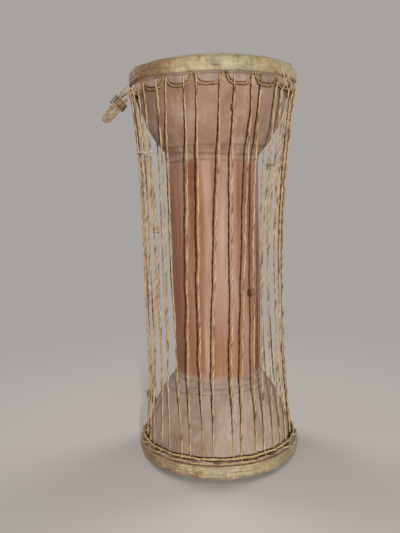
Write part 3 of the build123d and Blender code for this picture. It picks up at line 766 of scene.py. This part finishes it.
# Each knot: piece, tone, body, node, pair, leg, height, length, radius, turns, radius of the strand, and the
# cut ends from one offset to another, outwards, to the right and up.
KNOTS = (
    ("left_splice", "pale", "thong_16_upper", "left_splice_knot", 16, 1, 243, 8.5, 2.1, 4, 0.85,
     (((2.2, -0.6, 2.0), (5.4, -4.2, 4.5)),)),
    ("front_splice", "brown", "thong_01_upper", "front_splice_knot", 1, 1, 352, 5.6, 1.5, 3, 0.62,
     (((1.4, -0.6, 1.5), (2.4, -2.8, 3.4)),)),
    ("right_whiskers", "brown", "thong_03_upper", "right_whisker_tie", 3, -1, 300, 5.6, 2.0, 3, 0.75,
     (((1.8, -0.5, 0), (3.6, -8.6, -1.8)), ((1.6, 0.6, 0.4), (3.2, 6.4, 1.4)))),
    ("right_loop", "brown", "thong_02_lower", "right_loop_tie", 2, 1, 178, 7.6, 2.0, 4, 0.8,
     (((1.8, -0.4, 2.6), (4.6, -3.6, 9.0)), ((1.8, -0.4, -2.6), (4.4, -3.2, -9.4)))),
    ("lower_left_knot_wrap", "brown", "thong_14_lower", "lower_left_knot", 14, -1, 50, 9.0, 1.6, 4, 0.75,
     ()),
    ("lower_left_stop_wrap", "brown", "thong_14_lower", "lower_left_stopper", 14, 1, 61, 8.0, 1.7, 4, 0.75,
     (((2.0, 0.4, 2.0), (4.6, 2.4, 5.2)),)),
)
# Azimuth, radius and height along the loose strands at the upper right.
STRAYS = (((48, 86.0, 390), (51, 87.2, 381), (56, 86.6, 369)),
          ((58, 86.2, 389), (53, 87.6, 379), (47.5, 86.4, 366)),
          ((55, 86.4, 385), (59, 87.0, 377), (60.5, 86.4, 371)))


def wrap_round(pair, leg, height, length, radius, turns, strand, seed):
    """Strand wound round a thong leg."""
    count = 10 * turns
    rng = np.random.RandomState(seed)
    out = polar(leg_azimuth(pair, leg, height), 1, 0)
    right = right_of(out)
    route = []
    for share in np.arange(count + 1) / count:
        turn = 2 * math.pi * turns * share
        centre = leg_point(pair, leg, height + (share - 0.5) * length)
        reach = radius * (0.82 + 0.3 * math.sin(math.pi * share)) + 0.12 * rng.normal()
        route.append(centre + reach * (out * math.cos(turn) + right * math.sin(turn)))
    return twisted(route_line(route), strand, WRAP_PITCH, step=0.5, sides=6, seed=seed)


def whisker(pair, leg, height, start, end, strand, seed):
    """Stiff cut end that stands off a knot: offsets are outwards, to the right and up."""
    out = polar(leg_azimuth(pair, leg, height), 1, 0)
    axes = np.array([out, right_of(out), UP])
    base = leg_point(pair, leg, height)
    first, last = base + np.array(start) @ axes, base + np.array(end) @ axes
    bow = (first + last) / 2 + out * 0.8 + UP * 0.6
    line = route_line([first, bow, last])
    return twisted(line, strand, WHISKER_PITCH, step=0.5, sides=6, seed=seed, taper=0.7)


def ribbon(line, widths, thick, normals):
    """Flat strip along a line, as points and faces."""
    line, normals = np.asarray(line), np.asarray(normals)
    ahead = np.gradient(line, axis=0)
    ahead /= np.linalg.norm(ahead, axis=1)[:, None]
    wide = np.cross(normals, ahead)
    wide /= np.linalg.norm(wide, axis=1)[:, None]
    edge, rise = wide * np.asarray(widths)[:, None] / 2, normals * thick
    corners = [line + edge + rise / 2, line + rise * 0.62, line - edge + rise / 2,
               line - edge - rise / 2, line - rise * 0.38, line + edge - rise / 2]
    return np.stack(corners, axis=1).reshape(-1, 3), grid_faces(len(line), len(corners), False)


def hide_tie_parts(pair, height):
    """Strip round both legs of a pair and its two pointed ends, as points, faces and tips."""
    legs = [leg_point(pair, leg, height) for leg in (-1, 1)]
    middle = (legs[0] + legs[1]) / 2
    out = middle * np.array([1, 1, 0])
    out /= np.linalg.norm(out)
    right = right_of(out)
    half = np.linalg.norm(legs[1] - legs[0]) / 2
    line, normals = [], []
    for turn in np.linspace(0, 2 * math.pi, 41):
        end = math.copysign(min(1, abs(math.cos(turn)) * 6), math.cos(turn)) * half
        away = out * math.sin(turn) + right * math.cos(turn)
        line.append(middle + right * end + away * STRIP_SEAT + UP * 0.5 * math.sin(2 * turn))
        normals.append(away)
    widths = STRIP_WIDE + 0.5 * np.sin(np.linspace(0, 9, len(line)))
    points, faces = ribbon(line, widths, STRIP_THICK, normals)
    parts = [(points, faces, np.zeros(len(points)))]
    shares = np.linspace(0, 1, 14)
    for way, rise in ((-1, 2.2), (1, -0.6)):
        line, normals = [], []
        for share in shares:
            lift = rise * share + 0.8 * math.sin(4 * share)
            lean = 0.5 * way * share
            off = out * (2.7 + 1.6 * share * share) + right * way * STRIP_REACH * share
            line.append(middle + off + UP * lift)
            normals.append((out + UP * lean) / math.hypot(1, lean))
        points, faces = ribbon(line, END_WIDE * (1 - shares) ** 0.8 + 0.3, END_THICK, normals)
        parts.append((points, faces, np.repeat(0.5 * shares ** 3, len(points) // len(line))))
    return parts


# Tail
TAIL_AZIMUTH, TAIL_R, TAIL_DEPTH, TAIL_DROP = -81.0, 1.3, 23.0, math.radians(48.5)
TAIL_REACH, TAIL_STEP, TAIL_LAYER = 36.0, 3.2, 4.0
TAIL_ROOT_R = HOOP_OUT + TAIL_R * math.sin(TAIL_DROP) + 0.4
LASH_R, LASH_GAP, LASH_START, LASH_PITCH, LASH_STOPS = 1.0, 0.25, 9.0, 2.6, 27
TAIL_TWIST, LASH_TWIST, LASH_SHARE = 11.0, 9.0, 0.9


def tail_point(along, across, layer):
    """Point in the tail's own directions: along it, across it and upwards, round the ring."""
    out = polar(TAIL_AZIMUTH, 1, 0)
    ring = -right_of(out)
    ahead = out * math.cos(TAIL_DROP) - UP * math.sin(TAIL_DROP)
    root = polar(TAIL_AZIMUTH, TAIL_ROOT_R, HEIGHT - TAIL_DEPTH)
    return root + ahead * along + np.cross(ring, ahead) * across + ring * layer


def tail_route():
    """The hank's one cord: from the hem out and back in one layer, then out and back in the other."""
    near, far = -TAIL_LAYER / 2, TAIL_LAYER / 2
    low, mid_low, mid_high, high = (TAIL_STEP * share for share in (-1.5, -0.5, 0.5, 1.5))
    inwards = TAIL_ROOT_R - HEM_OUT - 0.1
    start = {across: -across * math.tan(TAIL_DROP) for across in (low, mid_low, mid_high, high)}
    root = (start[mid_high] - inwards * math.cos(TAIL_DROP), mid_high - inwards * math.sin(TAIL_DROP), near)
    stops = (root, (start[mid_high], mid_high, near), (TAIL_REACH, mid_high, near), (TAIL_REACH, low, near),
             (start[low], low, near), (start[low], mid_low, far), (TAIL_REACH, mid_low, far),
             (TAIL_REACH, high, far), (start[high], high, far))
    return [tail_point(*stop) for stop in stops]


def lashing_route():
    """Turns round the hank's root."""
    half_y = 1.5 * TAIL_STEP + TAIL_R + LASH_GAP + LASH_R
    half_z = TAIL_LAYER / 2 + TAIL_R + LASH_GAP + LASH_R
    corners = ((0, half_z), (half_y, half_z), (half_y, 0), (half_y, -half_z), (0, -half_z),
               (-half_y, -half_z), (-half_y, 0), (-half_y, half_z))
    count = len(corners)
    return [tail_point(LASH_START + LASH_PITCH * index / count, *corners[index % count])
            for index in range(LASH_STOPS)]


# What a user may change
def length_property(name, description, millimetres):
    return bpy.props.FloatProperty(name=name, description=description, default=millimetres * MM,
                                   unit="LENGTH")


def colour_property(name, description, default):
    return bpy.props.FloatVectorProperty(name=name, description=description, default=default, size=3, min=0,
                                         max=1, subtype="COLOR")


class DrumSizes(bpy.types.PropertyGroup):
    thong_radius: length_property("Thong radius", "Radius of a twisted thong", 0.95)
    thong_pitch: length_property("Thong pitch", "Length of one turn of a thong's twist", 19.0)
    cord_radius: length_property("Cord radius", "Radius of the lapping cords", 1.05)
    cord_pitch: length_property("Cord pitch", "Length of one turn of a lapping cord's twist", 11.0)
    columns: bpy.props.IntProperty(
        name="Columns", description="Divisions round the shell and the heads", default=168, min=48)


class DrumColours(bpy.types.PropertyGroup):
    wood_waist: colour_property("Waist wood", "Handled red wood of the waist", (0.335, 0.160, 0.095))
    wood_high: colour_property("Upper cup wood", "Wood of the upper cup", (0.325, 0.203, 0.14))
    wood_low: colour_property("Lower cup wood", "Dusty wood of the lower cup", (0.345, 0.262, 0.208))
    hide: colour_property("Head hide", "Stretched skin", (0.47, 0.385, 0.255))
    band: colour_property("Lapped hide", "Skin lapped round the hoops", (0.40, 0.305, 0.178))
    hem: colour_property("Hem", "Greyer hem of the lapped skin", (0.345, 0.25, 0.195))
    thong: colour_property("Thong", "Lit crests of the thongs", (0.53, 0.345, 0.165))
    thong_shade: colour_property("Thong shade", "Brown of the thongs' hollows", (0.125, 0.055, 0.02))
    cord: colour_property("Cord", "Golden lapping cord", (0.52, 0.36, 0.155))
    cane: colour_property("Cane", "Cane inside the hoops", (0.42, 0.30, 0.16))
    floor: colour_property("Floor", "Pale ground", (0.66, 0.635, 0.62))


# Operators
class DRUM_OT_shell(bpy.types.Operator):
    """Carve the hourglass shell"""
    bl_idname = "drum.shell"
    bl_label = "Carved Shell"

    def execute(self, context):
        points, groove = shell_surface(context.scene.drum_sizes.columns)
        finish = carved_wood(context.scene.drum_colours)
        piece = make_surface("carved_shell", points, True, finish, groove=groove)
        place(piece, "shell", "shell_wood", "drum_shell")
        return {"FINISHED"}


class DRUM_OT_heads(bpy.types.Operator):
    """Stretch the two heads"""
    bl_idname = "drum.heads"
    bl_label = "Heads"

    def execute(self, context):
        finish = head_hide(context.scene.drum_colours)
        for side, name in SIDES:
            points = head_surface(side, context.scene.drum_sizes.columns)
            piece = make_surface(f"{name}_head", points, False, finish)
            place(piece, "shell", "raw_hide", f"{name}_skin")
        return {"FINISHED"}


class DRUM_OT_collars(bpy.types.Operator):
    """Lap the skin's edge round the two hoops"""
    bl_idname = "drum.collars"
    bl_label = "Lapped Collars"

    def execute(self, context):
        tones = context.scene.drum_colours
        cane = bound_cane(tones)
        for side, name in SIDES:
            points, hem, fold = collar_surface(side, COLLAR_COLUMNS)
            finish = collar_hide(f"{name}_collar_hide", tones, LEFT_STAIN[side])
            piece = make_surface(f"{name}_collar", points, True, finish, hem=hem, fold=fold)
            place(piece, f"{name}_hoop", "raw_hide", f"{name}_skin_collar")
            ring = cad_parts[f"{name}_hoop_core"]
            ring.data.materials.clear()
            ring.data.materials.append(cane)
        return {"FINISHED"}


class DRUM_OT_cords(bpy.types.Operator):
    """Run the lapping cords along the hems"""
    bl_idname = "drum.cords"
    bl_label = "Lapping Cords"

    def execute(self, context):
        sizes, tones = context.scene.drum_sizes, context.scene.drum_colours
        dark = twisted_hide("upper_cord_hide", (0.36, 0.235, 0.10), (0.10, 0.05, 0.022), tones.cord, 0.6)
        bright = twisted_hide("lower_cord_hide", tones.cord, (0.20, 0.105, 0.04), (0.66, 0.52, 0.29), 0.25)
        for (side, name), finish, scale in zip(SIDES, (dark, bright), (1.0, 1.12)):
            line = route_line(cord_route(side), cyclic=True)
            part = twisted(line, sizes.cord_radius / MM * scale, sizes.cord_pitch / MM, closed=True, step=0.7,
                           seed=7 + side, spread=0.38)
            piece = cord_piece(f"{name}_cord", part, finish)
            place(piece, f"{name}_hoop", "lapping_cord", f"{name}_lapping_cord")
        return {"FINISHED"}


class DRUM_OT_thongs(bpy.types.Operator):
    """Lace the thong pairs between the hoops"""
    bl_idname = "drum.thongs"
    bl_label = "Thongs"

    def execute(self, context):
        sizes, tones = context.scene.drum_sizes, context.scene.drum_colours
        finish = twisted_hide("thong_hide", tones.thong, tones.thong_shade, (0.68, 0.51, 0.28), 0.5, 0.78)
        for pair in range(1, PAIRS + 1):
            part = twisted(route_line(thong_route(pair)), sizes.thong_radius / MM, sizes.thong_pitch / MM,
                           step=1.1, sides=6, seed=200 + pair, spread=0.34)
            name = f"thong_pair_{pair:02d}"
            piece = cord_piece(name, part, finish)
            place(piece, None, "thong_hide", f"{name}_upper", f"{name}_lower")
            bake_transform(piece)
        return {"FINISHED"}


class DRUM_OT_ties(bpy.types.Operator):
    """Tie the strip, splices and knots on the thongs"""
    bl_idname = "drum.ties"
    bl_label = "Ties"

    def execute(self, context):
        shade = context.scene.drum_colours.thong_shade
        pale = twisted_hide("splice_hide", (0.58, 0.45, 0.27), (0.22, 0.12, 0.05), (0.70, 0.60, 0.42), 0.2)
        brown = twisted_hide("knot_hide", (0.34, 0.215, 0.10), shade, (0.48, 0.34, 0.18), 0.5)
        finishes = {"pale": pale, "brown": brown}
        points, faces, tips = joined(hide_tie_parts(STRIP_PAIR, STRIP_HEIGHT))
        finish = cut_hide("tie_strip", (0.60, 0.54, 0.40), (0.34, 0.25, 0.15))
        strip = make_piece("hide_tie", points, faces, finish, tip=tips)
        place(strip, f"thong_{STRIP_PAIR}_upper", "tie_hide", "left_hide_tie")
        for number, knot in enumerate(KNOTS):
            name, tone, body, node, pair, leg, height, length, radius, turns, strand, ends = knot
            runs = [wrap_round(pair, leg, height, length, radius, turns, strand, 300 + number)]
            for end in ends:
                runs.append(whisker(pair, leg, height, *end, strand * WHISKER_SHARE, 320 + number))
            place(cord_piece(name, joined(runs), finishes[tone]), body, "tie_hide", node)
        runs = []
        for number, stops in enumerate(STRAYS):
            line = route_line([polar(*stop) for stop in stops])
            runs.append(twisted(line, STRAY_R, STRAY_PITCH, step=0.6, sides=6, seed=340 + number, taper=0.6))
        place(cord_piece("stray_strands", joined(runs), pale), "top_hoop", "tie_hide")
        return {"FINISHED"}


class DRUM_OT_tail(bpy.types.Operator):
    """Fold the tail's cord and lash its root"""
    bl_idname = "drum.tail"
    bl_label = "Tail"

    def execute(self, context):
        finish = twisted_hide("tail_fibre", (0.37, 0.25, 0.135), (0.13, 0.07, 0.035), (0.50, 0.38, 0.22), 0.4)
        dark = twisted_hide("lashing_fibre", (0.24, 0.15, 0.075), (0.075, 0.042, 0.022), (0.36, 0.25, 0.14),
                            0.5)
        line = route_line(tail_route())
        tail = cord_piece("tail_cord", twisted(line, TAIL_R, TAIL_TWIST, step=0.6, seed=401, spread=0.36),
                          finish)
        place(tail, "top_hoop", "tail_cord", "tail_hank")
        turns = route_line(lashing_route())
        lash = cord_piece("tail_lash", twisted(turns, LASH_R * LASH_SHARE, LASH_TWIST, step=0.5, seed=402,
                                               spread=0.34), dark)
        place(lash, "top_hoop", "tail_cord", "tail_lashing")
        return {"FINISHED"}


# Stage, in metres
FLOOR_HALF = 6.0
FAR_TONE = (0.385, 0.368, 0.358, 1)  # the ground and the world far off, as the camera sees them
BOUNCE_TONE = (0.17, 0.13, 0.10)  # the ground, as it lights the drum
WORLD_TINT, WORLD_STRENGTH = (1.0, 0.72, 0.48, 1), 0.045
LAMP_AIM = (0, 0, 0.2)
# Name, place, size, power and colour of each lamp.
LAMPS = (
    ("key", (0.150, -1.300, 0.270), 0.04, 18.0, (1.0, 0.985, 0.96)),
    ("overhead", (-0.2, -0.3, 1.7), 1.3, 2.6, (1.0, 0.97, 0.93)),
    ("back_left", (-1.3, 1.0, 0.9), 1.1, 16.0, (1.0, 0.96, 0.92)),
    ("back_right", (1.3, 1.0, 0.9), 1.1, 16.0, (1.0, 0.96, 0.92)),
)
# The camera was fitted to the photograph; its angles are in degrees.
CAMERA_PLACE, CAMERA_LENS, CAMERA_SENSOR = (0.0107, -0.6222, 0.2788), 40.17, 36.0
CAMERA_PITCH, CAMERA_YAW, CAMERA_ROLL = 7.267, -2.501, -1.302


def set_floor(colour):
    """Pale ground that keeps the shadow near the drum and fades into the background."""
    mesh = bpy.data.meshes.new("floor")
    corners = [(x * FLOOR_HALF, y * FLOOR_HALF, 0) for x, y in ((-1, -1), (1, -1), (1, 1), (-1, 1))]
    mesh.from_pydata(corners, [], [(0, 1, 2, 3)])
    floor = bpy.data.objects.new("floor", mesh)
    bpy.context.collection.objects.link(floor)
    f = Finish("pale_ground", 0.9, 0.1)
    direct = f.direct_rays()
    tone = f.cloud((2.2, 2.2, 2.2), detail=3)
    shown = f.ramp(tone, (0.3, [part * 0.94 for part in colour]), (0.7, colour))
    f.done(f.mix(direct, BOUNCE_TONE, shown))
    plain = f.node("ShaderNodeEmission", {"Color": FAR_TONE}).outputs[0]
    share = f.times(direct, f.span(f.from_axis(), 0.12, 0.55))
    fade = f.node("ShaderNodeMixShader", {0: share, 1: f.shader.outputs[0], 2: plain})
    f.feed(f.tree.nodes["Material Output"].inputs["Surface"], fade.outputs[0])
    mesh.materials.append(f.material)


def set_lamp(name, spot, size, power, colour):
    data = bpy.data.lights.new(name, "AREA")
    data.shape = "DISK"
    data.size = size
    data.energy = power
    data.color = colour
    lamp = bpy.data.objects.new(name, data)
    lamp.location = spot
    lamp.rotation_euler = (Vector(LAMP_AIM) - Vector(spot)).to_track_quat("-Z", "Y").to_euler()
    lamp.visible_camera = False
    bpy.context.collection.objects.link(lamp)


def set_world(scene):
    """Dim warm light on the drum, and a plain background."""
    world = bpy.data.worlds.new("studio")
    world.use_nodes = True
    sky = Nodes(world.node_tree)
    light = sky.tree.nodes["Background"]
    light.inputs["Color"].default_value = WORLD_TINT
    light.inputs["Strength"].default_value = WORLD_STRENGTH
    seen = sky.node("ShaderNodeBackground", {"Color": FAR_TONE})
    feeds = {0: sky.direct_rays(), 1: light.outputs[0], 2: seen.outputs[0]}
    blend = sky.node("ShaderNodeMixShader", feeds)
    sky.feed(sky.tree.nodes["World Output"].inputs["Surface"], blend.outputs[0])
    scene.world = world


def set_camera(scene):
    data = bpy.data.cameras.new("camera")
    data.lens = CAMERA_LENS
    data.sensor_width = CAMERA_SENSOR
    data.dof.use_dof = False
    camera = bpy.data.objects.new("camera", data)
    turns = ((-CAMERA_YAW, "Z"), (90 - CAMERA_PITCH, "X"), (CAMERA_ROLL, "Z"))
    camera.matrix_world = Matrix.Translation(CAMERA_PLACE)
    for angle, letter in turns:
        camera.matrix_world @= Matrix.Rotation(math.radians(angle), 4, letter)
    bpy.context.collection.objects.link(camera)
    scene.camera = camera


class DRUM_OT_stage(bpy.types.Operator):
    """Set the floor, the light and the camera"""
    bl_idname = "drum.stage"
    bl_label = "Stage"

    def execute(self, context):
        scene = context.scene
        set_floor(scene.drum_colours.floor)
        for lamp in LAMPS:
            set_lamp(*lamp)
        set_world(scene)
        scene.view_settings.view_transform = "Standard"
        set_camera(scene)
        return {"FINISHED"}


STEPS = (DRUM_OT_stage, DRUM_OT_tail, DRUM_OT_shell, DRUM_OT_heads, DRUM_OT_collars, DRUM_OT_cords,
         DRUM_OT_thongs, DRUM_OT_ties)


class DRUM_PT_panel(bpy.types.Panel):
    """The drum's sizes, colours and pieces"""
    bl_label = "Talking Drum"
    bl_idname = "DRUM_PT_panel"
    bl_space_type = "VIEW_3D"
    bl_region_type = "UI"
    bl_category = "Talking Drum"

    def draw(self, context):
        for group in (context.scene.drum_sizes, context.scene.drum_colours):
            for key in group.__annotations__:
                self.layout.prop(group, key)
        for step in STEPS:
            self.layout.operator(step.bl_idname)


CLASSES = (DrumSizes, DrumColours, *STEPS, DRUM_PT_panel)


def register():
    for entry in CLASSES:
        bpy.utils.register_class(entry)
    bpy.types.Scene.drum_sizes = bpy.props.PointerProperty(type=DrumSizes)
    bpy.types.Scene.drum_colours = bpy.props.PointerProperty(type=DrumColours)


def unregister():
    del bpy.types.Scene.drum_colours
    del bpy.types.Scene.drum_sizes
    for entry in reversed(CLASSES):
        bpy.utils.unregister_class(entry)


def main():
    register()
    for step in STEPS:
        group, name = step.bl_idname.split(".")
        getattr(getattr(bpy.ops, group), name)()


if __name__ == "__main__":
    main()
